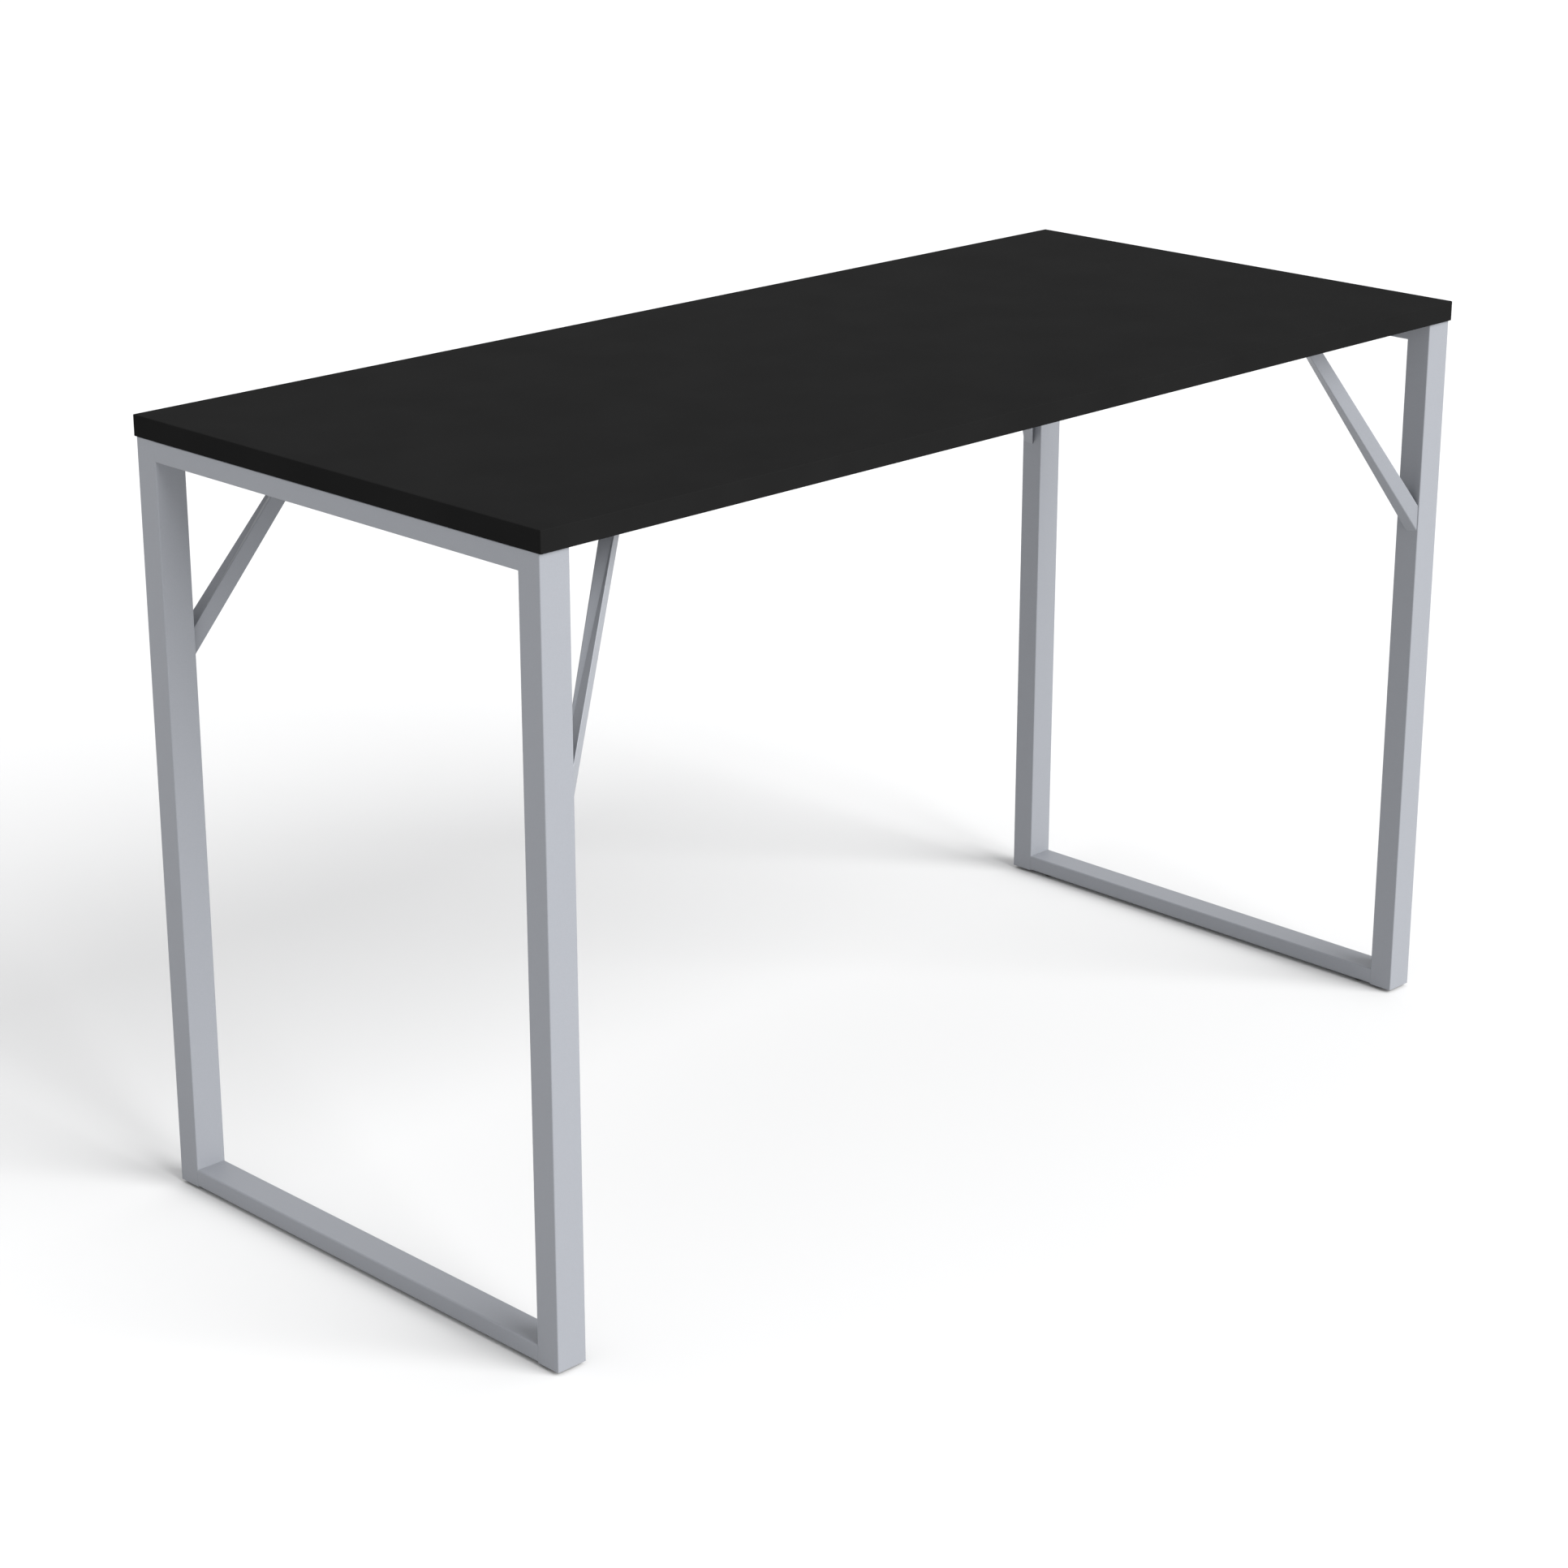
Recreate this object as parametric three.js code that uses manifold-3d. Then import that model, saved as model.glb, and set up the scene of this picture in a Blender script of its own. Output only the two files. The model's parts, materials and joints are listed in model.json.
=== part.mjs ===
// Bar-height table: a laminated top on two welded end frames. Each end frame is a closed loop of
// rectangular tube with two twisted diagonal braces up to the underside of the top, and stands on
// two levelling feet.
// Millimetres. +X runs along the table, +Y to its rear, +Z up. The origin is on the floor, under the
// middle of the table.

import * as THREE from 'three';
import { mergeVertices } from 'three/addons/utils/BufferGeometryUtils.js';
import Module from 'manifold-3d';

// ---- Driving dimensions ----

// Top
const tableLength = 1800;
const tableWidth = 800;
const tableHeight = 1100;
const topThickness = 29;
const bandThickness = 3;
const bandTopRadius = 2.5;
const bandBottomRadius = 0.8;

// End frames
const overhangEnd = 1;
const overhangSide = 4;
const frameTubeWidth = 47;
const postDepth = 39;
const topRailHeight = 28;
const bottomRailHeight = 25;
const tubeWall = 2;
const postRadius = 1.5;
const bottomRailRadius = 3;
const bottomRailLift = 1;
const floorClearance = 5;

// Braces
const braceTube = 20;
const braceWall = 2;
const braceRadius = 3;
const braceDrop = 296;
const braceReach = 169;
const braceInset = 108;
const braceFootInset = 2;
const braceFootSkew = 3;
const braceSteps = 6;
const plateLength = 84;
const plateWidth = 32;
const plateThickness = 3;
const plateCorner = 5;
const plateScrewSpacing = 60;

// Fasteners between the steel and the top
const railBoltInset = 67;
const railBoltRadius = 3;
const railBoltHeadRadius = 5;
const railBoltHeadHeight = 4.5;
const railBoltGrip = 14;
const boltAccessRadius = 7;
const socketRadius = 2.5;
const socketDepth = 2.5;
const insertRadius = 5;
const insertLength = 13;
const insertCollar = 5.2;
const grooveSlope = 0.65;
const boreSpare = 2;
const screwRadius = 2.25;
const screwLength = 18;
const screwHeadRadius = 4.5;
const screwHeadHeight = 2.6;
const screwHeadRim = 1;

// Feet and end caps
const footInset = 30;
const padRadius = 14;
const padThickness = 5;
const collarRadius = 8;
const studRadius = 4;
const studHeadroom = 3;
const studSeat = 2;
const nutAcrossFlats = 13;
const nutHeight = 7;
const capDepth = 12;
const capWall = 2;

// Clearances
const glueLine = 0.1;
const seatGap = 0.1;
const weldGap = 0.3;
const fitGap = 0.3;
const endChamfer = 0.6;

// Two vertices closer than this are one.
const vertexTolerance = 1e-4;

// Facets of round pieces
const roundSides = 12;
const padSides = 24;
const cornerSegments = 2;

// ---- Derived places ----

const topUnderside = tableHeight - topThickness;
const frameTop = topUnderside - seatGap;
const frameOuterX = tableLength / 2 - overhangEnd;
const frameInnerX = frameOuterX - frameTubeWidth;
const frameMidX = frameOuterX - frameTubeWidth / 2;
const postOuterY = tableWidth / 2 - overhangSide;
const postInnerY = postOuterY - postDepth;
const railLength = 2 * (postInnerY - weldGap);
const topRailBottom = frameTop - topRailHeight;
const bottomRailBottom = floorClearance + bottomRailLift;
const plateTop = topUnderside - seatGap;
const plateBottom = plateTop - plateThickness;
const braceHeadZ = plateBottom - weldGap;
const braceFootZ = topUnderside - braceDrop;
const braceFootY = braceFootInset + braceTube / 2;
const footY = postInnerY - footInset;
const studTop = bottomRailBottom + bottomRailHeight - tubeWall - studHeadroom;
const studLength = studTop - studSeat;

// ---- Finishes ----

function finish(colour, roughness, metalness) {
  return new THREE.MeshStandardMaterial({ color: colour, roughness, metalness });
}

const blackLaminate = finish(0x232324, 0.5, 0);
const blackBand = finish(0x262627, 0.45, 0);
const silverCoat = finish(0x9a9fa6, 0.45, 0.35);
const zincSteel = finish(0xb9bcbf, 0.35, 0.9);
const insertBrass = finish(0xb59a55, 0.4, 0.85);
const blackPlastic = finish(0x1b1b1c, 0.6, 0);

// ---- Solid helpers ----

const wasm = await Module();
wasm.setup();

function solidOf(geometry) {
  const bare = geometry.clone();
  bare.deleteAttribute('normal');
  bare.deleteAttribute('uv');
  const merged = mergeVertices(bare, vertexTolerance);
  const vertProperties = Float32Array.from(merged.attributes.position.array);
  const triVerts = Uint32Array.from(merged.index.array);
  return new wasm.Manifold(new wasm.Mesh({ numProp: 3, vertProperties, triVerts }));
}

function geometryOf(solid) {
  const mesh = solid.getMesh();
  const geometry = new THREE.BufferGeometry();
  geometry.setAttribute('position', new THREE.BufferAttribute(mesh.vertProperties, 3));
  geometry.setIndex(new THREE.BufferAttribute(mesh.triVerts, 1));
  geometry.computeVertexNormals();
  return geometry;
}

function cut(geometry, cutters) {
  let solid = solidOf(geometry);
  for (const cutter of cutters) {
    solid = solid.subtract(solidOf(cutter));
  }
  return geometryOf(solid);
}

function roundedRectangle(width, height, radius, path = new THREE.Shape()) {
  const x = width / 2;
  const y = height / 2;
  path.moveTo(x, radius - y);
  path.lineTo(x, y - radius);
  path.absarc(x - radius, y - radius, radius, 0, Math.PI / 2);
  path.lineTo(radius - x, y);
  path.absarc(radius - x, y - radius, radius, Math.PI / 2, Math.PI);
  path.lineTo(-x, radius - y);
  path.absarc(radius - x, radius - y, radius, Math.PI, 1.5 * Math.PI);
  path.lineTo(x - radius, -y);
  path.absarc(x - radius, radius - y, radius, 1.5 * Math.PI, 2 * Math.PI);
  return path;
}

function tubeSection(width, height, wall, radius) {
  const shape = roundedRectangle(width, height, radius);
  const innerRadius = Math.max(radius - wall, wall / 4);
  const hollow = roundedRectangle(width - 2 * wall, height - 2 * wall, innerRadius, new THREE.Path());
  shape.holes.push(hollow);
  return shape;
}

function extrude(shape, depth, steps = 1) {
  return new THREE.ExtrudeGeometry(shape, {
    depth,
    steps,
    bevelEnabled: false,
    curveSegments: cornerSegments,
  });
}

// A turned piece: its profile is given as [radius, height] pairs, and it stands along Z.
function turned(profile, sides = roundSides) {
  const points = profile.map(([radius, height]) => new THREE.Vector2(radius, height));
  return new THREE.LatheGeometry(points, sides).rotateX(Math.PI / 2);
}

// An upright cylinder from one height to another, used as a cutter.
function drill(x, y, from, to, radius) {
  const geometry = new THREE.CylinderGeometry(radius, radius, to - from, roundSides);
  return geometry.rotateX(Math.PI / 2).translate(x, y, (from + to) / 2);
}

function part(name, geometry, material, parent, x = 0, y = 0, z = 0) {
  const mesh = new THREE.Mesh(geometry, material);
  mesh.name = name;
  mesh.position.set(x, y, z);
  parent.add(mesh);
  return mesh;
}

// ---- Where the fasteners enter the top ----

const braceRunX = braceReach;
const braceRunY = braceInset - braceFootY;
const braceHeading = Math.atan2(braceRunY, braceRunX);
const braceRun = Math.hypot(braceRunX, braceRunY);
const braceRise = braceHeadZ - braceFootZ;
const plateX = frameInnerX - braceReach;
const plateY = postOuterY - braceInset;

function railBoltPlaces() {
  const reach = postInnerY - railBoltInset;
  return [-reach, 0, reach];
}

// Screw places in the plate's own frame, along the run of the brace.
function plateScrewPlaces() {
  return [-plateScrewSpacing / 2, plateScrewSpacing / 2];
}

// The four corners of the table: name, side along X, side along Y.
const corners = [
  ['left_front', -1, -1],
  ['left_rear', -1, 1],
  ['right_front', 1, -1],
  ['right_rear', 1, 1],
];

// ---- Top ----

function makePanel() {
  const length = tableLength - 2 * (bandThickness + glueLine);
  const width = tableWidth - 2 * (bandThickness + glueLine);
  const board = new THREE.BoxGeometry(length, width, topThickness);
  board.translate(0, 0, topUnderside + topThickness / 2);
  const cutters = [];
  const below = topUnderside - boreSpare;
  for (const side of [-1, 1]) {
    for (const y of railBoltPlaces()) {
      const depth = insertLength + boreSpare;
      cutters.push(drill(side * frameMidX, y, below, topUnderside + depth, insertRadius + fitGap));
    }
  }
  for (const [, sideX, sideY] of corners) {
    for (const along of plateScrewPlaces()) {
      const x = sideX * (plateX - along * Math.cos(braceHeading));
      const y = sideY * (plateY - along * Math.sin(braceHeading));
      cutters.push(drill(x, y, below, topUnderside + screwLength, screwRadius + fitGap));
    }
  }
  return cut(board, cutters);
}

// Edge band section: x runs outwards from the board, y up from the underside of the top.
function bandSection() {
  const shape = new THREE.Shape();
  shape.moveTo(0, 0);
  shape.lineTo(bandThickness - bandBottomRadius, 0);
  shape.absarc(bandThickness - bandBottomRadius, bandBottomRadius, bandBottomRadius, -Math.PI / 2, 0);
  shape.lineTo(bandThickness, topThickness - bandTopRadius);
  shape.absarc(bandThickness - bandTopRadius, topThickness - bandTopRadius, bandTopRadius, 0, Math.PI / 2);
  shape.lineTo(0, topThickness);
  return shape;
}

// A band along Y, with its outer face towards +X.
function makeBand(length) {
  return extrude(bandSection(), length).rotateX(Math.PI / 2).translate(0, length / 2, 0);
}

function buildTop(parent) {
  part('desktop_panel', makePanel(), blackLaminate, parent);
  const endBand = makeBand(tableWidth - 2 * (bandThickness + glueLine));
  const endX = tableLength / 2 - bandThickness;
  part('right_edge_band', endBand, blackBand, parent, endX, 0, topUnderside);
  part('left_edge_band', endBand, blackBand, parent, -endX, 0, topUnderside).rotation.z = Math.PI;
  const sideBand = makeBand(tableLength);
  const sideY = tableWidth / 2 - bandThickness;
  part('rear_edge_band', sideBand, blackBand, parent, 0, sideY, topUnderside).rotation.z = Math.PI / 2;
  part('front_edge_band', sideBand, blackBand, parent, 0, -sideY, topUnderside).rotation.z = -Math.PI / 2;
}

// ---- Rails of one end frame ----

// A tube along Y, with its section's middle at the given height.
function railTube(height, radius, middleZ) {
  const geometry = extrude(tubeSection(frameTubeWidth, height, tubeWall, radius), railLength);
  return geometry.rotateX(Math.PI / 2).translate(0, railLength / 2, middleZ);
}

function makeTopRail() {
  const upperWall = frameTop - tubeWall;
  const cutters = [];
  for (const y of railBoltPlaces()) {
    const middle = (topRailBottom + frameTop) / 2;
    cutters.push(drill(0, y, topRailBottom - boreSpare, middle, boltAccessRadius));
    cutters.push(drill(0, y, upperWall - boreSpare, frameTop + boreSpare, railBoltRadius + fitGap));
  }
  return cut(railTube(topRailHeight, postRadius, frameTop - topRailHeight / 2), cutters);
}

function makeBottomRail() {
  const middle = bottomRailBottom + bottomRailHeight / 2;
  const cutters = [-footY, footY].map(
    (y) => drill(0, y, bottomRailBottom - boreSpare, middle, studRadius + fitGap));
  return cut(railTube(bottomRailHeight, bottomRailRadius, middle), cutters);
}

// Cap screw, head down, with the underside of its head at z = 0.
function makeRailBolt() {
  const tip = railBoltGrip;
  return turned([
    [0, socketDepth - railBoltHeadHeight],
    [socketRadius, socketDepth - railBoltHeadHeight],
    [socketRadius, -railBoltHeadHeight],
    [railBoltHeadRadius - endChamfer, -railBoltHeadHeight],
    [railBoltHeadRadius, endChamfer - railBoltHeadHeight],
    [railBoltHeadRadius, 0],
    [railBoltRadius, 0],
    [railBoltRadius, tip - endChamfer],
    [railBoltRadius - endChamfer, tip],
    [0, tip],
  ]);
}

// Threaded insert, from z = 0 up, with a groove round its middle.
function makeInsert() {
  const bore = railBoltRadius + fitGap;
  const waist = insertRadius - endChamfer;
  return turned([
    [bore, 0],
    [insertRadius, 0],
    [insertRadius, insertCollar],
    [waist, insertCollar + grooveSlope],
    [waist, insertLength - insertCollar - grooveSlope],
    [insertRadius, insertLength - insertCollar],
    [insertRadius, insertLength],
    [bore, insertLength],
    [bore, 0],
  ]);
}

function buildRails(side, sideX, parent) {
  const x = sideX * frameMidX;
  part(`${side}_top_rail`, makeTopRail(), silverCoat, parent, x);
  part(`${side}_bottom_rail`, makeBottomRail(), silverCoat, parent, x);
  const bolt = makeRailBolt();
  const insert = makeInsert();
  const headSeat = frameTop - tubeWall - fitGap;
  railBoltPlaces().forEach((y, i) => {
    const place = ['front', 'middle', 'rear'][i];
    part(`${side}_${place}_rail_bolt`, bolt, zincSteel, parent, x, y, headSeat);
    part(`${side}_${place}_top_insert`, insert, insertBrass, parent, x, y, topUnderside);
  });
}

// ---- One corner, built as the left front one and mirrored for the others ----

function makePost() {
  const section = tubeSection(frameTubeWidth, postDepth, tubeWall, postRadius);
  return extrude(section, frameTop - floorClearance);
}

// Plastic plug, flush with the lower end of the post and hollow above its floor.
function makeEndCap() {
  const width = frameTubeWidth - 2 * (tubeWall + fitGap);
  const depth = postDepth - 2 * (tubeWall + fitGap);
  const radius = postRadius / 2;
  const plug = extrude(roundedRectangle(width, depth, radius), capDepth);
  const hollow = extrude(roundedRectangle(width - 2 * capWall, depth - 2 * capWall, radius), capDepth);
  return cut(plug, [hollow.translate(0, 0, capWall)]);
}

// Square tube whose foot lies square on the post and whose head is in line with its run, so that it
// twists by its heading on the way up. Both ends are cut to the faces that they meet.
function makeBrace() {
  const footStretch = Math.hypot(1, braceRise / braceReach);
  const headStretch = Math.hypot(1, braceRun / braceRise);
  const geometry = extrude(tubeSection(braceTube, braceTube, braceWall, braceRadius), 1, braceSteps);
  const position = geometry.attributes.position;
  const alongX = Math.cos(braceHeading);
  const alongY = Math.sin(braceHeading);
  const foot = new THREE.Vector3();
  const head = new THREE.Vector3();
  for (let i = 0; i < position.count; i += 1) {
    const across = position.getX(i);
    const depth = position.getY(i);
    const skew = (across / braceTube + 0.5) * braceFootSkew;
    foot.set(weldGap, braceFootY + across, braceFootZ + depth * footStretch - skew);
    head.set(
      braceReach - alongY * across - alongX * depth * headStretch,
      braceInset + alongX * across - alongY * depth * headStretch,
      braceHeadZ);
    foot.lerp(head, position.getZ(i));
    position.setXYZ(i, foot.x - frameInnerX, foot.y - postOuterY, foot.z);
  }
  geometry.computeVertexNormals();
  return geometry;
}

function makeBracePlate() {
  const shape = roundedRectangle(plateLength, plateWidth, plateCorner);
  for (const along of plateScrewPlaces()) {
    const hole = new THREE.Path();
    hole.absarc(along, 0, screwRadius + fitGap, 0, 2 * Math.PI, true);
    shape.holes.push(hole);
  }
  return new THREE.ExtrudeGeometry(shape, {
    depth: plateThickness,
    bevelEnabled: false,
    curveSegments: roundSides / 2,
  });
}

// Pan-head wood screw, head down, with the underside of its head at z = 0.
function makeScrew() {
  const tip = plateThickness + screwLength - boreSpare;
  return turned([
    [0, screwHeadRim - screwHeadHeight],
    [screwRadius / 2, screwHeadRim - screwHeadHeight],
    [screwRadius, -screwHeadHeight],
    [screwHeadRadius - screwHeadRim, -screwHeadHeight],
    [screwHeadRadius, screwHeadRim - screwHeadHeight],
    [screwHeadRadius, 0],
    [screwRadius, 0],
    [screwRadius, tip - 2 * screwRadius],
    [0, tip],
  ]);
}

function makeNut() {
  const shape = new THREE.Shape();
  const reach = nutAcrossFlats / 2 / Math.cos(Math.PI / 6);
  for (let i = 0; i < 6; i += 1) {
    const angle = (i * Math.PI) / 3;
    const x = reach * Math.cos(angle);
    const y = reach * Math.sin(angle);
    if (i === 0) shape.moveTo(x, y);
    else shape.lineTo(x, y);
  }
  const bore = new THREE.Path();
  bore.absarc(0, 0, studRadius + fitGap, 0, 2 * Math.PI, true);
  shape.holes.push(bore);
  return new THREE.ExtrudeGeometry(shape, {
    depth: nutHeight,
    bevelEnabled: false,
    curveSegments: roundSides / 2,
  });
}

// Foot pad: its collar stops against the bottom rail when the foot is screwed fully in.
function makePad() {
  const collarTop = bottomRailBottom - fitGap;
  const socket = studRadius + fitGap;
  return turned([
    [0, 0],
    [padRadius - endChamfer, 0],
    [padRadius, endChamfer],
    [padRadius, padThickness - 2 * endChamfer],
    [padRadius - 2 * endChamfer, padThickness],
    [collarRadius, padThickness],
    [collarRadius, collarTop],
    [socket, collarTop],
    [socket, studSeat - fitGap],
    [0, studSeat - fitGap],
  ], padSides);
}

function makeStud() {
  return turned([
    [0, 0],
    [studRadius - endChamfer, 0],
    [studRadius, endChamfer],
    [studRadius, studLength - endChamfer],
    [studRadius - endChamfer, studLength],
    [0, studLength],
  ]);
}

function buildCorner(name, sideX, sideY, parent) {
  const corner = new THREE.Group();
  corner.scale.set(-sideX, -sideY, 1);
  parent.add(corner);

  const postY = -(postOuterY - postDepth / 2);
  part(`${name}_post`, makePost(), silverCoat, corner, -frameMidX, postY, floorClearance);
  part(`${name}_end_cap`, makeEndCap(), blackPlastic, corner, -frameMidX, postY, floorClearance);
  part(`${name}_brace`, makeBrace(), silverCoat, corner);

  const plateGroup = new THREE.Group();
  plateGroup.position.set(-plateX, -plateY, plateBottom);
  plateGroup.rotation.z = braceHeading;
  corner.add(plateGroup);
  part(`${name}_brace_plate`, makeBracePlate(), silverCoat, plateGroup);
  plateScrewPlaces().forEach((along, i) => {
    const place = ['outer', 'inner'][i];
    part(`${name}_${place}_screw`, makeScrew(), zincSteel, plateGroup, along, 0, -fitGap);
  });

  const nutZ = bottomRailBottom + tubeWall + weldGap;
  part(`${name}_foot_pad`, makePad(), blackPlastic, corner, -frameMidX, -footY, 0);
  part(`${name}_foot_stud`, makeStud(), zincSteel, corner, -frameMidX, -footY, studSeat);
  part(`${name}_foot_nut`, makeNut(), zincSteel, corner, -frameMidX, -footY, nutZ);
}

// ---- The table ----

const table = new THREE.Group();
buildTop(table);
buildRails('left', -1, table);
buildRails('right', 1, table);
for (const [name, sideX, sideY] of corners) {
  buildCorner(name, sideX, sideY, table);
}

export default table;
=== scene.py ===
import json
import math

import bmesh
import bpy
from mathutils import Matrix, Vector


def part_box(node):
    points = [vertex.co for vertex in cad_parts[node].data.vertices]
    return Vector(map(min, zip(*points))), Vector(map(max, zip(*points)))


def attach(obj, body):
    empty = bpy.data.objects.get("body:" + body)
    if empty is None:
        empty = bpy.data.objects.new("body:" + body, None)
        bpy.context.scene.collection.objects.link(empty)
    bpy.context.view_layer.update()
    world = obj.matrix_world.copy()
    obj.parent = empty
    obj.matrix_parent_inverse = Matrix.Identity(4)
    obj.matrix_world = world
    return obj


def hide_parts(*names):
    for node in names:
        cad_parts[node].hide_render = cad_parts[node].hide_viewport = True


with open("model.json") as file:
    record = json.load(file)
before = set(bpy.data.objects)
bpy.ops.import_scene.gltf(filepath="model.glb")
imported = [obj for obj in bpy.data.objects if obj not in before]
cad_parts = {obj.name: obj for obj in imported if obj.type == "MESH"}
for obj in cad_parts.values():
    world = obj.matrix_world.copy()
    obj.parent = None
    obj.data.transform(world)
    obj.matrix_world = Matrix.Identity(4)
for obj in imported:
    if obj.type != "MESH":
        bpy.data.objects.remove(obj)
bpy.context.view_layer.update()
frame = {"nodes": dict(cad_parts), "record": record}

# Bar-height table: a black laminated top on two silver tube end frames.
# Metres. +X runs along the table, +Y to its rear, +Z up, and the floor is at z = 0.

nodes = frame["nodes"]
scene = bpy.context.scene

MM = 0.001

# Every rounded edge has this many steps. Points closer than WELD_DISTANCE become one.
ARC_SEGMENTS = 6
WELD_DISTANCE = 0.001 * MM

# An edge is shaded sharp from this angle up, in degrees.
CREASE_ANGLE = 38
BRACE_CREASE_ANGLE = 20

# Edge band
BAND_TOP_RADIUS = 1.2 * MM
BAND_BOTTOM_RADIUS = 0.8 * MM
BAND_CORNER_RADIUS = 1.2 * MM

# Tubes of the end frames. A bottom rail runs SEAM_DEPTH into the face of its posts.
TUBE_WALL = 2 * MM
TUBE_INNER_RADIUS = 0.5 * MM
POST_RADIUS = 1.5 * MM
BOTTOM_RAIL_RADIUS = 2.5 * MM
CUT_EDGE = 0.4 * MM
SEAM_DEPTH = 0.7 * MM

# Braces. The middle of the head is BRACE_REACH from the post's inner face along X and
# BRACE_INSET from its outer face along Y. The foot is BRACE_FOOT_DROP below the underside
# of the top, and BRACE_FOOT_SKEW lower at one side than at the other. UPPER_SIDE is the
# number of the side that faces up.
BRACE_TUBE = 20 * MM
BRACE_REACH = 169 * MM
BRACE_INSET = 108 * MM
BRACE_FOOT_DROP = 296 * MM
BRACE_FOOT_SKEW = 3 * MM
BRACE_EDGE = 1.5 * MM
BRACE_STEPS = 12
UPPER_SIDE = 2

# Feet. A pad stands on a ring PAD_TREAD wide, round a dish PAD_DISH deep.
PAD_HEIGHT = 5 * MM
PAD_TREAD = 2.6 * MM
PAD_DISH = 0.4 * MM
PAD_LOWER_ROUND = 0.8 * MM
PAD_UPPER_ROUND = 1.6 * MM
PAD_SIDES = 48
COLLAR_RADIUS = 8 * MM
COLLAR_FILLET = 0.4 * MM
STUD_HOLE_RADIUS = 4.3 * MM
STUD_HOLE_BOTTOM = 1.7 * MM

# Colours of the materials
LAMINATE_BLACK = (0.0098, 0.0098, 0.0098)
COAT_SILVER = (0.237, 0.247, 0.269)
ZINC = (0.62, 0.63, 0.65)
BRASS = (0.62, 0.47, 0.22)
PLASTIC_DARK = (0.011, 0.011, 0.011)
PLASTIC_PALE = (0.019, 0.019, 0.019)

# Floor: a disc so wide that its rim lies at the horizon.
FLOOR_RADIUS = 60
FLOOR_SIDES = 96
FLOOR_DARK = (0.645, 0.645, 0.645)
FLOOR_PALE = (0.655, 0.655, 0.655)

# Sky, by the height of the direction: 0 is level and 1 is straight up.
HORIZON_HEIGHT = 0.03
HORIZON_COLOUR = (1.0, 1.0, 1.0)
SKY_HEIGHT = 0.35
SKY_COLOUR = (0.87, 0.872, 0.88)

# Key light. KEY_DIRECTION points from the table to the light. KEY_SPREAD is its width in
# degrees.
KEY_DIRECTION = (0.15, -0.8, 0.52)
KEY_ENERGY = 4.75
KEY_SPREAD = 50

# Camera: it stands where the photo's camera stood, 45 degrees off the table's length. The
# angles are in degrees, the lens and the sensor's width in millimetres.
CAMERA_PLACE = (-3.542, -3.439, 2.213)
CAMERA_HEADING = 45
CAMERA_TILT = 19.5
CAMERA_LENS = 82.9
CAMERA_SENSOR = 36
CAMERA_REACH = 200

SIDES = [("left", -1), ("right", 1)]
DEPTHS = [("front", -1), ("rear", 1)]


# ---- Materials ----

class Shader:
    """A material's node tree with its Principled shader and a few ready-made nodes.

    A pattern's scale is about how many of its spots or cells lie along a metre.
    """

    def __init__(self, name):
        self.material = bpy.data.materials.new(name)
        self.material.use_nodes = True
        self.tree = self.material.node_tree
        self.surface = self.tree.nodes["Principled BSDF"]
        self.place = self.tree.nodes.new("ShaderNodeTexCoord").outputs["Object"]

    def link(self, output, socket):
        self.tree.links.new(output, socket)

    def drive(self, **outputs):
        """Links node outputs to the shader's sockets of these names."""
        for name, output in outputs.items():
            self.link(output, self.surface.inputs[name.replace("_", " ")])

    def set(self, **values):
        """Sets the shader's sockets of these names to values that are the same all over."""
        for name, value in values.items():
            self.surface.inputs[name.replace("_", " ")].default_value = value

    def noise(self, scale, detail=2.0, roughness=0.5):
        node = self.tree.nodes.new("ShaderNodeTexNoise")
        node.inputs["Scale"].default_value = scale
        node.inputs["Detail"].default_value = detail
        node.inputs["Roughness"].default_value = roughness
        self.link(self.place, node.inputs["Vector"])
        return node.outputs["Fac"]

    def flakes(self, scale):
        """A random value for each cell of a fine irregular grid."""
        node = self.tree.nodes.new("ShaderNodeTexVoronoi")
        node.inputs["Scale"].default_value = scale
        self.link(self.place, node.inputs["Vector"])
        split = self.tree.nodes.new("ShaderNodeSeparateColor")
        self.link(node.outputs["Color"], split.inputs["Color"])
        return split.outputs["Red"]

    def ramp(self, value, dark, pale, start=0.35, end=0.65):
        """The colour that goes from dark to pale as the value goes from start to end."""
        node = self.tree.nodes.new("ShaderNodeValToRGB")
        node.color_ramp.elements[0].position = start
        node.color_ramp.elements[1].position = end
        node.color_ramp.elements[0].color = (*dark, 1)
        node.color_ramp.elements[1].color = (*pale, 1)
        self.link(value, node.inputs["Fac"])
        return node.outputs["Color"]

    def spread(self, value, low, high):
        """The value, from 0 to 1, as a number from low to high."""
        node = self.tree.nodes.new("ShaderNodeMapRange")
        node.inputs["To Min"].default_value = low
        node.inputs["To Max"].default_value = high
        self.link(value, node.inputs["Value"])
        return node.outputs["Result"]

    def bump(self, height, distance, strength, under=None):
        """A bumpy surface direction, on top of the bumps of under."""
        node = self.tree.nodes.new("ShaderNodeBump")
        node.inputs["Distance"].default_value = distance
        node.inputs["Strength"].default_value = strength
        self.link(height, node.inputs["Height"])
        if under is not None:
            self.link(under, node.inputs["Normal"])
        return node.outputs["Normal"]


def shades(colour, change):
    """Two colours, one a little darker and one a little lighter than this one."""
    return [c * (1 - change) for c in colour], [c * (1 + change) for c in colour]


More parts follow.
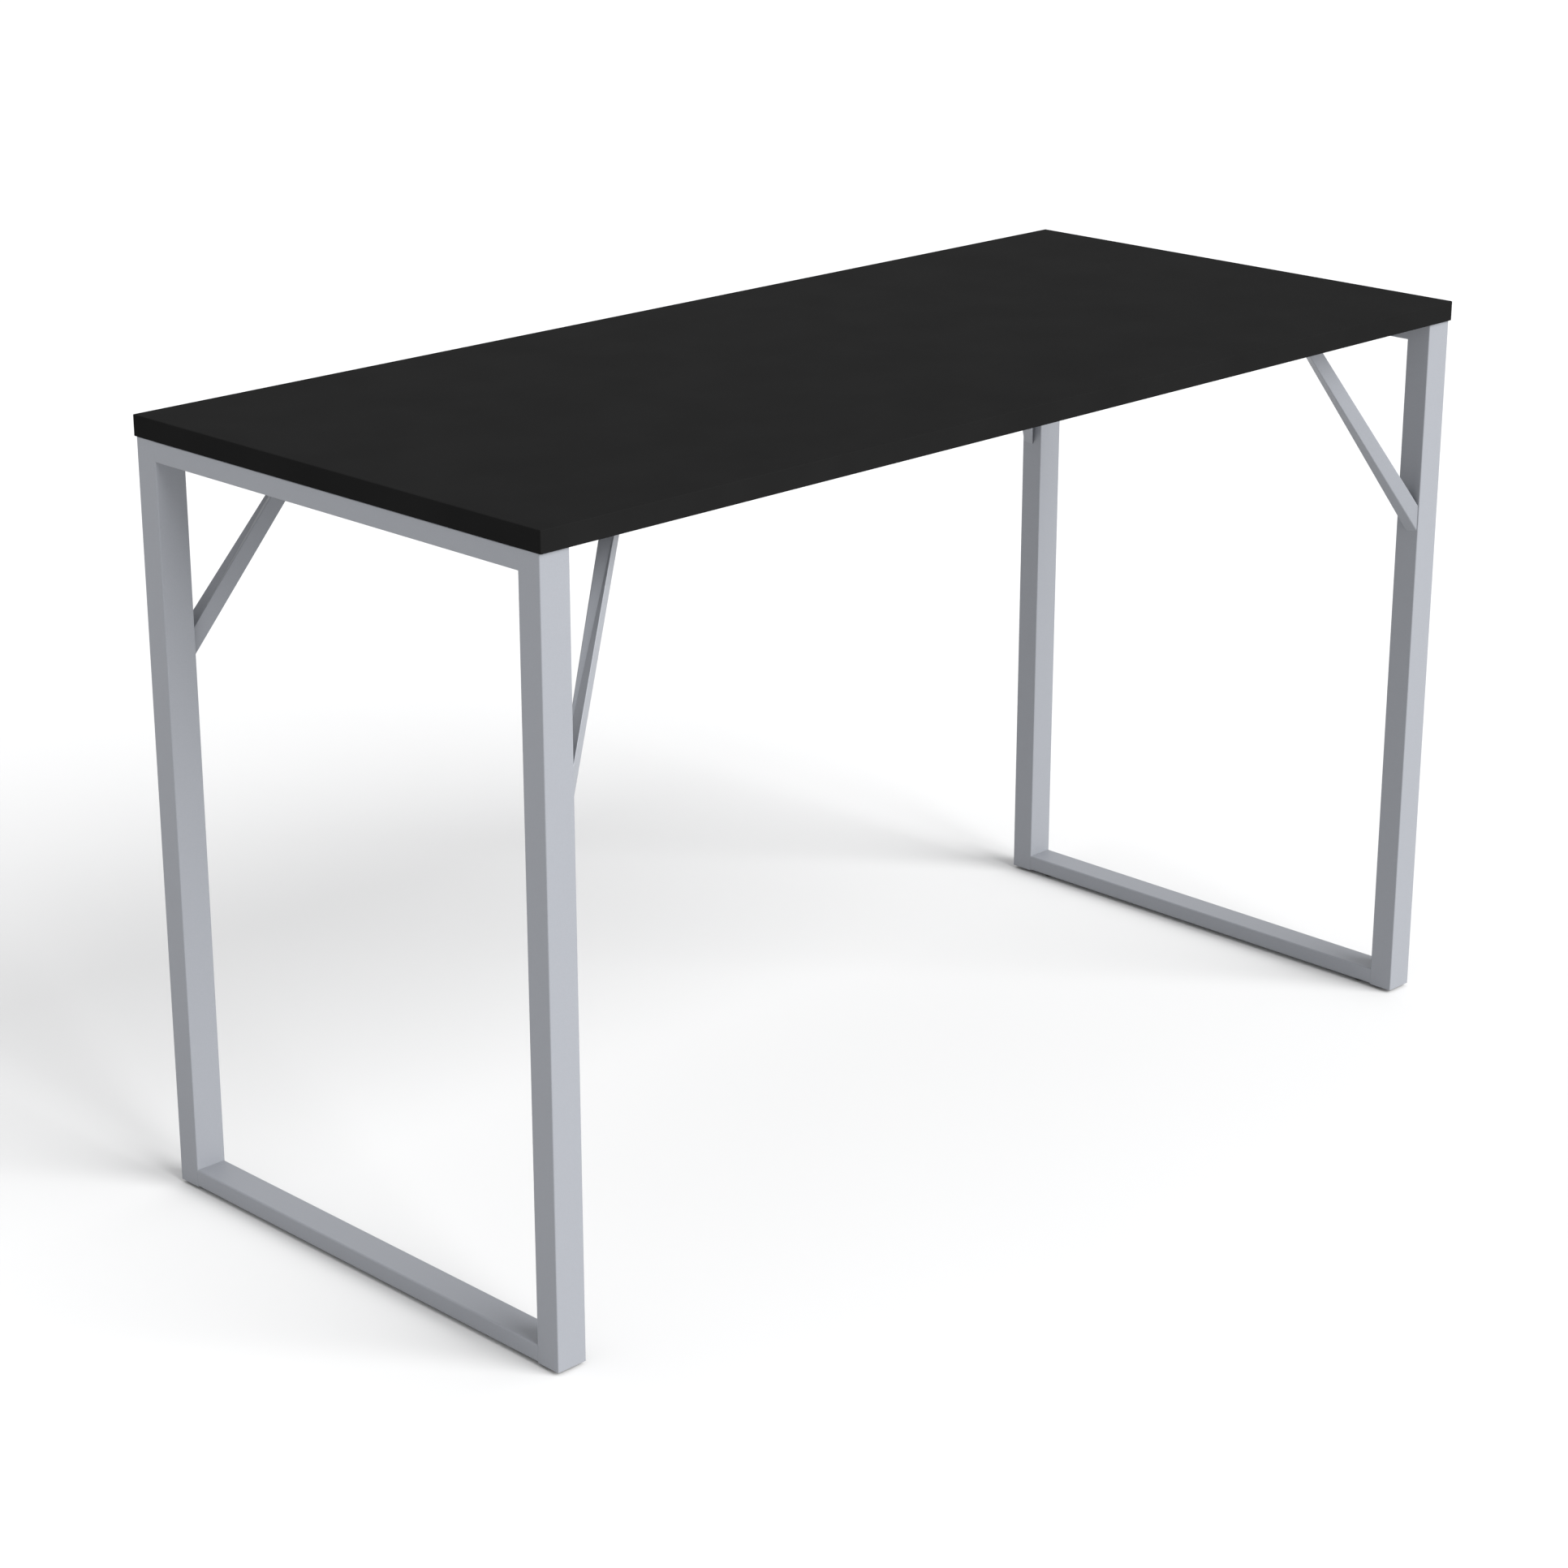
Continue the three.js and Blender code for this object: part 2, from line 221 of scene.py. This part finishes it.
def make_laminate(name, grain):
    """Satin black decor with a fine pearl grain pressed into it, and almost no shine."""
    shader = Shader(name)
    clouds = shader.noise(scale=9, detail=4)
    fine = shader.noise(scale=grain, detail=3, roughness=0.6)
    shader.drive(
        Base_Color=shader.ramp(clouds, *shades(LAMINATE_BLACK, change=0.05)),
        Roughness=shader.spread(fine, low=0.46, high=0.6),
        Normal=shader.bump(fine, distance=0.06 * MM, strength=0.5))
    shader.set(Specular_IOR_Level=0.002)
    return shader.material


def make_powder_coat():
    """Silver powder coat: metal flakes in a satin film with an orange peel."""
    shader = Shader("silver_powder_coat")
    flakes = shader.flakes(scale=2600)
    peel = shader.noise(scale=520)
    dust = shader.noise(scale=2100)
    wave = shader.bump(peel, distance=0.05 * MM, strength=0.55)
    dark, pale = shades(COAT_SILVER, change=0.045)
    shader.drive(
        Base_Color=shader.ramp(flakes, dark, pale, start=0.0, end=1.0),
        Roughness=shader.spread(dust, low=0.36, high=0.5),
        Normal=shader.bump(dust, distance=0.02 * MM, strength=0.5, under=wave))
    shader.set(Metallic=0.15, Specular_IOR_Level=0.4)
    return shader.material


def make_metal(name, colour, roughness, scale):
    """Bare or plated metal with fine marks."""
    shader = Shader(name)
    marks = shader.noise(scale=scale, detail=4, roughness=0.65)
    shader.drive(
        Base_Color=shader.ramp(marks, *shades(colour, change=0.12)),
        Roughness=shader.spread(marks, low=roughness - 0.07, high=roughness + 0.07),
        Normal=shader.bump(marks, distance=0.02 * MM, strength=0.5))
    shader.set(Metallic=1.0)
    return shader.material


def make_plastic():
    """Black moulded plastic with a spark-eroded texture."""
    shader = Shader("black_plastic")
    grain = shader.noise(scale=1500, detail=3, roughness=0.6)
    shader.drive(
        Base_Color=shader.ramp(grain, PLASTIC_DARK, PLASTIC_PALE),
        Roughness=shader.spread(grain, low=0.5, high=0.7),
        Normal=shader.bump(grain, distance=0.05 * MM, strength=0.6))
    shader.set(Specular_IOR_Level=0.35)
    return shader.material


materials = {
    "black_laminate": make_laminate("black_laminate", grain=900),
    "black_edge_band": make_laminate("black_edge_band", grain=1400),
    "silver_powder_coat": make_powder_coat(),
    "zinc_plated_steel": make_metal("zinc_plated_steel", ZINC, roughness=0.3, scale=700),
    "insert_brass": make_metal("insert_brass", BRASS, roughness=0.35, scale=500),
    "black_plastic": make_plastic(),
}


# ---- Mesh helpers ----

def add_piece(name, mesh_data, node, slot, body="table", crease=CREASE_ANGLE):
    """A new piece that stands for a CAD node. Its rounded edges shade softly into flat faces."""
    mesh = bpy.data.meshes.new(name)
    mesh_data.normal_update()
    mesh_data.to_mesh(mesh)
    mesh_data.free()
    mesh.shade_smooth()
    mesh.set_sharp_from_angle(angle=math.radians(crease))
    mesh.materials.append(materials[slot])
    piece = bpy.data.objects.new(name, mesh)
    scene.collection.objects.link(piece)
    shading = piece.modifiers.new("flat_faces", "WEIGHTED_NORMAL")
    shading.keep_sharp = True
    shading.weight = 100
    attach(piece, body)
    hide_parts(node)


def quarter_arc(centre_a, centre_b, radius, start):
    """Points of a quarter circle, anticlockwise from this angle in degrees."""
    angles = [math.radians(start + 90 * i / ARC_SEGMENTS) for i in range(ARC_SEGMENTS + 1)]
    return [
        (centre_a + radius * math.cos(angle), centre_b + radius * math.sin(angle))
        for angle in angles]


def rounded_rectangle(half_x, half_y, radius):
    """Points of a rectangle with round corners, anticlockwise from its right-hand side."""
    points = []
    for turn, (sx, sy) in enumerate([(1, 1), (-1, 1), (-1, -1), (1, -1)]):
        centre_x = sx * (half_x - radius)
        centre_y = sy * (half_y - radius)
        points += quarter_arc(centre_x, centre_y, radius, start=90 * turn)
    return points


def bridge(mesh_data, ring_a, ring_b, closed=True):
    """A strip of faces between two rows of as many points. A closed strip meets itself."""
    count = len(ring_a)
    for i in range(count if closed else count - 1):
        j = (i + 1) % count
        mesh_data.faces.new((ring_a[i], ring_a[j], ring_b[j], ring_b[i]))


def tube_mesh(half_x, half_y, radius, low, high, place):
    """A tube with open ends, round edges and softened cuts.

    Its rings go up the outside, over the cut end, down the inside and back over the other
    cut end. place turns (x, y, along) into a point.
    """
    layers = [
        (0, low + CUT_EDGE, radius),
        (0, high - CUT_EDGE, radius),
        (CUT_EDGE, high, radius),
        (TUBE_WALL, high, TUBE_INNER_RADIUS),
        (TUBE_WALL, low, TUBE_INNER_RADIUS),
        (CUT_EDGE, low, radius),
    ]
    mesh_data = bmesh.new()
    rings = []
    for inset, along, corner in layers:
        outline = rounded_rectangle(half_x - inset, half_y - inset, corner)
        rings.append([mesh_data.verts.new(place(x, y, along)) for x, y in outline])
    for ring, following in zip(rings, rings[1:] + rings[:1]):
        bridge(mesh_data, ring, following)
    bmesh.ops.recalc_face_normals(mesh_data, faces=mesh_data.faces)
    return mesh_data


def middle_and_half(node):
    """The middle of a CAD node's box and half its size."""
    low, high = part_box(node)
    return (low + high) / 2, (high - low) / 2


# ---- Top ----

def band_profile(top_z, bottom_z, thickness):
    """The band's section as points (distance inwards from its outer face, height).

    It starts at the upper inner corner and goes round by the outer face to the lower one.
    """
    upper = quarter_arc(-BAND_TOP_RADIUS, top_z - BAND_TOP_RADIUS, BAND_TOP_RADIUS, start=0)
    lower = quarter_arc(
        -BAND_BOTTOM_RADIUS, bottom_z + BAND_BOTTOM_RADIUS, BAND_BOTTOM_RADIUS, start=-90)
    outside = [(-along, z) for along, z in reversed(lower + upper)]
    return [(thickness, top_z), *outside, (thickness, bottom_z)]


def build_bands():
    """Four strips of one rim, mitred where they meet at the corners of the top."""
    low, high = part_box("desktop_panel")
    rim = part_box("front_edge_band")[1].x
    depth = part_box("rear_edge_band")[1].y
    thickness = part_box("right_edge_band")[1].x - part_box("right_edge_band")[0].x
    profile = band_profile(high.z, low.z, thickness)
    corner_size = ARC_SEGMENTS + 1
    outline_size = 4 * corner_size
    for quarter, name in enumerate(["rear", "left", "front", "right"]):
        start = quarter * corner_size + ARC_SEGMENTS // 2
        stops = [(start + i) % outline_size for i in range(corner_size + 1)]
        mesh_data = bmesh.new()
        rows = []
        for inwards, z in profile:
            radius = max(BAND_CORNER_RADIUS - inwards, 0)
            outline = rounded_rectangle(rim - inwards, depth - inwards, radius)
            rows.append([mesh_data.verts.new((*outline[stop], z)) for stop in stops])
        for row, following in zip(rows, rows[1:] + rows[:1]):
            bridge(mesh_data, row, following, closed=False)
        for end in (0, -1):
            mesh_data.faces.new([row[end] for row in rows])
        bmesh.ops.remove_doubles(mesh_data, verts=mesh_data.verts, dist=WELD_DISTANCE)
        bmesh.ops.recalc_face_normals(mesh_data, faces=mesh_data.faces)
        add_piece(f"{name}_edge_strip", mesh_data, f"{name}_edge_band", "black_edge_band")


# ---- End frames ----

def build_post(name):
    middle, half = middle_and_half(f"{name}_post")
    mesh_data = tube_mesh(
        half.x, half.y, POST_RADIUS, -half.z, half.z,
        lambda x, y, along: middle + Vector((x, y, along)))
    add_piece(f"{name}_post_tube", mesh_data, f"{name}_post", "silver_powder_coat")


def build_rail(name, radius, overlap):
    """A rail along Y, longer than the CAD rail by overlap at each end."""
    middle, half = middle_and_half(name)
    reach = half.y + overlap
    mesh_data = tube_mesh(
        half.x, half.z, radius, -reach, reach,
        lambda x, z, along: middle + Vector((x, along, z)))
    add_piece(f"{name}_tube", mesh_data, name, "silver_powder_coat")


def build_end_frame(side):
    """Two posts and two rails. The CAD leaves a thin gap at each weld, which the rails bridge."""
    post_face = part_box(f"{side}_rear_post")[0].y
    gap = post_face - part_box(f"{side}_top_rail")[1].y
    build_rail(f"{side}_top_rail", POST_RADIUS, gap + POST_RADIUS)
    build_rail(f"{side}_bottom_rail", BOTTOM_RAIL_RADIUS, gap + SEAM_DEPTH)
    for depth, _ in DEPTHS:
        build_post(f"{side}_{depth}")


# ---- Braces ----

def brace_corners(name, side_x, side_y):
    """The brace's four long edges as (foot point, head point), in order round its section.

    They are worked out from the post's corner: inwards along X, inwards along Y, and up.
    """
    post_low, post_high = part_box(f"{name}_post")
    inner_x = post_high.x if side_x < 0 else post_low.x
    outer_y = post_low.y if side_y < 0 else post_high.y
    brace_low, brace_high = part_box(f"{name}_brace")
    top_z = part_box("desktop_panel")[0].z
    head_z = brace_high.z
    half = BRACE_TUBE / 2
    foot_y = abs(outer_y - (brace_low.y if side_y < 0 else brace_high.y)) + half
    foot_z = top_z - BRACE_FOOT_DROP
    sideways = BRACE_INSET - foot_y
    heading = math.atan2(sideways, BRACE_REACH)
    run = math.hypot(sideways, BRACE_REACH)
    rise = head_z - foot_z
    foot_stretch = math.hypot(1, rise / BRACE_REACH)
    head_stretch = math.hypot(1, run / rise)
    edges = []
    for across, depth in [(-half, -half), (half, -half), (half, half), (-half, half)]:
        skew = (across / BRACE_TUBE + 0.5) * BRACE_FOOT_SKEW
        foot = (0, foot_y + across, foot_z + depth * foot_stretch - skew)
        along = depth * head_stretch
        head = (
            BRACE_REACH - math.sin(heading) * across - math.cos(heading) * along,
            BRACE_INSET + math.cos(heading) * across - math.sin(heading) * along,
            head_z,
        )
        edges.append([
            Vector((inner_x - side_x * p, outer_y - side_y * q, z)) for p, q, z in (foot, head)])
    return edges


def build_brace(name, side_x, side_y):
    """A square tube twisted from its foot to its head. Its upper side folds on a diagonal."""
    edges = brace_corners(name, side_x, side_y)
    mesh_data = bmesh.new()
    feet = [mesh_data.verts.new(foot) for foot, _ in edges]
    heads = [mesh_data.verts.new(head) for _, head in edges]
    for i in range(4):
        j = (i + 1) % 4
        if i == UPPER_SIDE:
            mesh_data.faces.new((feet[i], feet[j], heads[j]))
            mesh_data.faces.new((feet[i], heads[j], heads[i]))
        else:
            mesh_data.faces.new((feet[i], feet[j], heads[j], heads[i]))
    mesh_data.faces.new(feet)
    mesh_data.faces.new(heads)
    bmesh.ops.recalc_face_normals(mesh_data, faces=mesh_data.faces)
    pairs = [{foot, head} for foot, head in zip(feet, heads)]
    long_edges = [edge for edge in mesh_data.edges if set(edge.verts) in pairs]
    bmesh.ops.bevel(
        mesh_data, geom=long_edges, offset=BRACE_EDGE, segments=ARC_SEGMENTS, profile=0.5,
        affect="EDGES", clamp_overlap=True)
    lengthways = [edge for edge in mesh_data.edges if edge.calc_length() > BRACE_REACH]
    bmesh.ops.subdivide_edges(
        mesh_data, edges=lengthways, cuts=BRACE_STEPS - 1, use_grid_fill=True)
    add_piece(
        f"{name}_brace_tube", mesh_data, f"{name}_brace", "silver_powder_coat",
        crease=BRACE_CREASE_ANGLE)


# ---- Feet ----

def pad_profile(radius, height):
    """The pad's section as points (radius, height), from the middle of its dished underside."""
    rim = radius - PAD_TREAD
    lower = quarter_arc(radius - PAD_LOWER_ROUND, PAD_LOWER_ROUND, PAD_LOWER_ROUND, start=-90)
    upper = quarter_arc(
        radius - PAD_UPPER_ROUND, PAD_HEIGHT - PAD_UPPER_ROUND, PAD_UPPER_ROUND, start=0)
    return [
        (0, PAD_DISH),
        (rim - PAD_DISH, PAD_DISH),
        (rim, 0),
        *lower,
        *upper,
        (COLLAR_RADIUS + COLLAR_FILLET, PAD_HEIGHT),
        (COLLAR_RADIUS, PAD_HEIGHT + COLLAR_FILLET),
        (COLLAR_RADIUS, height),
        (STUD_HOLE_RADIUS, height),
        (STUD_HOLE_RADIUS, STUD_HOLE_BOTTOM),
        (0, STUD_HOLE_BOTTOM),
    ]


def build_foot(name):
    """A moulded pad with a dished underside and a collar up to the rail."""
    middle, half = middle_and_half(f"{name}_foot_pad")
    mesh_data = bmesh.new()
    rings = []
    for r, z in pad_profile(half.x, 2 * half.z):
        angles = [2 * math.pi * i / PAD_SIDES for i in range(PAD_SIDES)]
        rings.append([
            mesh_data.verts.new(
                (middle.x + r * math.cos(angle), middle.y + r * math.sin(angle), z))
            for angle in angles])
    for ring, following in zip(rings, rings[1:]):
        bridge(mesh_data, ring, following)
    bmesh.ops.remove_doubles(mesh_data, verts=mesh_data.verts, dist=WELD_DISTANCE)
    bmesh.ops.recalc_face_normals(mesh_data, faces=mesh_data.faces)
    add_piece(
        f"{name}_glide", mesh_data, f"{name}_foot_pad", "black_plastic", body=f"{name}_foot")


# ---- The object ----

def finish_cad_nodes():
    """Every CAD node takes its slot's material."""
    for row in frame["record"]["subparts"]:
        node = nodes[row["node"]]
        node.data.materials.clear()
        node.data.materials.append(materials[row["material_slot"]])


finish_cad_nodes()
build_bands()
for side, side_x in SIDES:
    build_end_frame(side)
    for depth, side_y in DEPTHS:
        build_brace(f"{side}_{depth}", side_x, side_y)
        build_foot(f"{side}_{depth}")


# ---- Floor, light and camera ----

def build_floor():
    """A pale matt floor with faint clouds."""
    shader = Shader("pale_floor")
    clouds = shader.noise(scale=0.8)
    shader.drive(Base_Color=shader.ramp(clouds, FLOOR_DARK, FLOOR_PALE))
    shader.set(Roughness=0.9, Specular_IOR_Level=0.0)
    mesh_data = bmesh.new()
    bmesh.ops.create_circle(mesh_data, cap_ends=True, segments=FLOOR_SIDES, radius=FLOOR_RADIUS)
    mesh = bpy.data.meshes.new("floor")
    mesh_data.to_mesh(mesh)
    mesh_data.free()
    mesh.materials.append(shader.material)
    floor = bpy.data.objects.new("floor", mesh)
    scene.collection.objects.link(floor)


def build_world():
    """Soft even light from all round, paler at the horizon, where it meets the floor."""
    world = bpy.data.worlds.new("studio")
    world.use_nodes = True
    tree = world.node_tree
    direction = tree.nodes.new("ShaderNodeTexCoord").outputs["Generated"]
    split = tree.nodes.new("ShaderNodeSeparateXYZ")
    tree.links.new(direction, split.inputs["Vector"])
    ramp = tree.nodes.new("ShaderNodeValToRGB")
    ramp.color_ramp.elements[0].position = HORIZON_HEIGHT
    ramp.color_ramp.elements[0].color = (*HORIZON_COLOUR, 1)
    ramp.color_ramp.elements[1].position = SKY_HEIGHT
    ramp.color_ramp.elements[1].color = (*SKY_COLOUR, 1)
    tree.links.new(split.outputs["Z"], ramp.inputs["Fac"])
    tree.links.new(ramp.outputs["Color"], tree.nodes["Background"].inputs["Color"])
    scene.world = world


def build_key_light():
    """A wide soft light from far away, in front of the table and above it."""
    light = bpy.data.lights.new("key", "SUN")
    light.energy = KEY_ENERGY
    light.angle = math.radians(KEY_SPREAD)
    lamp = bpy.data.objects.new("key", light)
    lamp.rotation_mode = "QUATERNION"
    lamp.rotation_quaternion = Vector(KEY_DIRECTION).to_track_quat("Z", "Y")
    scene.collection.objects.link(lamp)


def build_camera():
    """The photo's viewpoint, tilted down to the table instead of level with a large shift."""
    camera_data = bpy.data.cameras.new("camera")
    camera_data.lens = CAMERA_LENS
    camera_data.sensor_width = CAMERA_SENSOR
    camera_data.clip_end = CAMERA_REACH
    camera = bpy.data.objects.new("camera", camera_data)
    camera.location = CAMERA_PLACE
    heading = math.radians(CAMERA_HEADING)
    tilt = math.radians(CAMERA_TILT)
    camera.rotation_euler = (math.pi / 2 - tilt, 0, heading - math.pi / 2)
    scene.collection.objects.link(camera)
    scene.camera = camera


build_floor()
build_world()
build_key_light()
build_camera()
scene.view_settings.view_transform = "Standard"
